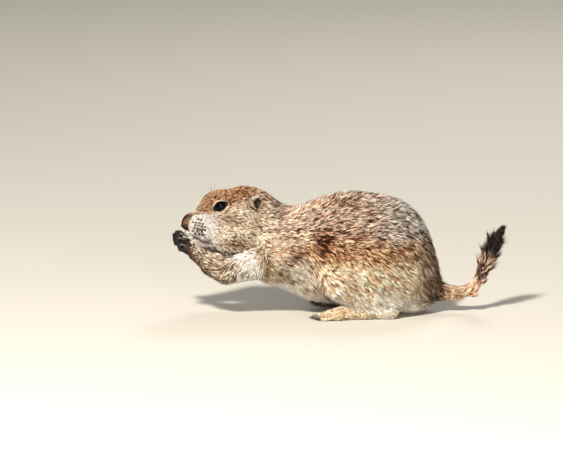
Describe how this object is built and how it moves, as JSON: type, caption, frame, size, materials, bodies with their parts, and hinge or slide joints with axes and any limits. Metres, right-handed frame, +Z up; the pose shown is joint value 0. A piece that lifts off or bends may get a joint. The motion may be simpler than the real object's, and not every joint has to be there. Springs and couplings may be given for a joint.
{
  "type": "prairie dog model",
  "caption": "Life-size still model of a black-tailed prairie dog crouched on its hind feet, hands held to its mouth and tail raised.",
  "frame": {"origin": "on the floor, under the middle of the bounding box", "axes": "+X from nose to tail, -Y the animal's left side, +Z up; the feet and rump rest on z = 0"},
  "size_m": [0.2957, 0.1042, 0.1151],
  "materials": {
    "back_fur": "short dense hair, cinnamon brown grizzled with pale tips",
    "crown_fur": "very short hair, rufous brown above, grey-white on the muzzle",
    "flank_fur": "dense hair, buff, paler low down",
    "pale_fur": "short cream hair",
    "limb_fur": "short buff-grey hair",
    "tail_fur": "bushy cinnamon hair",
    "black_fur": "bushy black hair",
    "nose_skin": "bare skin, smooth and slightly moist",
    "ear_skin": "thin skin with a bloom of very short hair",
    "hand_skin": "dark skin with sparse short hair",
    "foot_skin": "short flat buff hair over skin",
    "eye": "polished, almost black",
    "claw": "smooth dark horn"
  },
  "bodies": {
    "root": {"neck": "back_fur", "chest": "flank_fur", "trunk": "back_fur", "rump": "back_fur", "tail_base": "tail_fur", "tail_brush": "tail_fur", "tail_tip": "black_fur", "head": "crown_fur", "lower_jaw": "pale_fur", "nose_pad": "nose_skin", "eye_left": "eye", "ear_left": "ear_skin", "upper_arm_left": "flank_fur", "forearm_left": "limb_fur", "hand_left": "hand_skin", "hand_claw_left_1": "claw", "hand_claw_left_2": "claw", "hand_claw_left_3": "claw", "hand_claw_left_4": "claw", "thigh_left": "flank_fur", "lower_leg_left": "flank_fur", "foot_left": "foot_skin", "foot_claw_left_1": "claw", "foot_claw_left_2": "claw", "foot_claw_left_3": "claw", "foot_claw_left_4": "claw", "foot_claw_left_5": "claw", "eye_right": "eye", "ear_right": "ear_skin", "upper_arm_right": "flank_fur", "forearm_right": "limb_fur", "hand_right": "hand_skin", "hand_claw_right_1": "claw", "hand_claw_right_2": "claw", "hand_claw_right_3": "claw", "hand_claw_right_4": "claw", "thigh_right": "flank_fur", "lower_leg_right": "flank_fur", "foot_right": "foot_skin", "foot_claw_right_1": "claw", "foot_claw_right_2": "claw", "foot_claw_right_3": "claw", "foot_claw_right_4": "claw", "foot_claw_right_5": "claw"}
  },
  "joints": []
}
